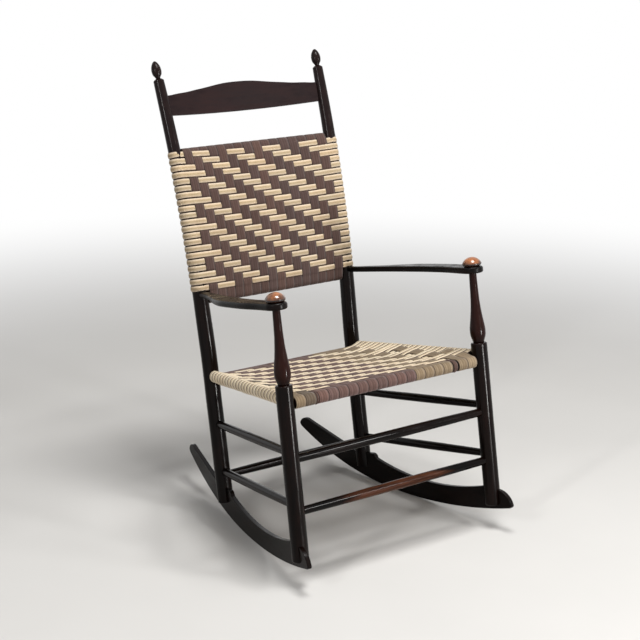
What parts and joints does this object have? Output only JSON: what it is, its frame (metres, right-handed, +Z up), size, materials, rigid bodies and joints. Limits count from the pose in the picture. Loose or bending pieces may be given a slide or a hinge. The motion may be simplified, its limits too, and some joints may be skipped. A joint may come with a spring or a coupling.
{
  "type": "rocking chair",
  "caption": "Armed rocking chair of turned dark-stained wood with a bowed top slat, acorn finials, mushroom arm caps and a two-colour woven tape seat and back.",
  "frame": {"origin": "on the floor, midway across the chair and midway along its depth; the rockers touch the floor within 1 cm of it in depth", "axes": "+Z up, +Y towards the back of the chair, +X to the right of someone who looks at the chair from its front"},
  "size_m": [0.5988, 0.7466, 1.0573],
  "materials": {
    "stained_wood": "gloss",
    "cap_wood": "gloss",
    "tan_tape": "matte",
    "brown_tape": "matte",
    "pad_cloth": "matte"
  },
  "bodies": {
    "root": {"back_post_left": "stained_wood", "back_post_right": "stained_wood", "front_post_left": "stained_wood", "front_post_right": "stained_wood", "top_slat": "stained_wood", "back_rail_upper": "stained_wood", "back_rail_lower": "stained_wood", "seat_rail_front": "stained_wood", "seat_rail_back": "stained_wood", "seat_rail_left": "stained_wood", "seat_rail_right": "stained_wood", "front_rung_lower": "stained_wood", "front_rung_upper": "stained_wood", "side_rung_lower_left": "stained_wood", "side_rung_lower_right": "stained_wood", "side_rung_upper_left": "stained_wood", "side_rung_upper_right": "stained_wood", "back_rung": "stained_wood", "arm_left": "stained_wood", "arm_right": "stained_wood", "arm_cap_left": "cap_wood", "arm_cap_right": "cap_wood", "rocker_left": "stained_wood", "rocker_right": "stained_wood", "rocker_pins": "stained_wood", "slat_pins": "stained_wood", "back_warp_tapes": "brown_tape", "back_weft_tapes": "tan_tape", "seat_warp_tapes": "brown_tape", "seat_gusset_tapes": "tan_tape", "seat_weft_tapes": "tan_tape", "seat_pad": "pad_cloth"}
  },
  "joints": []
}
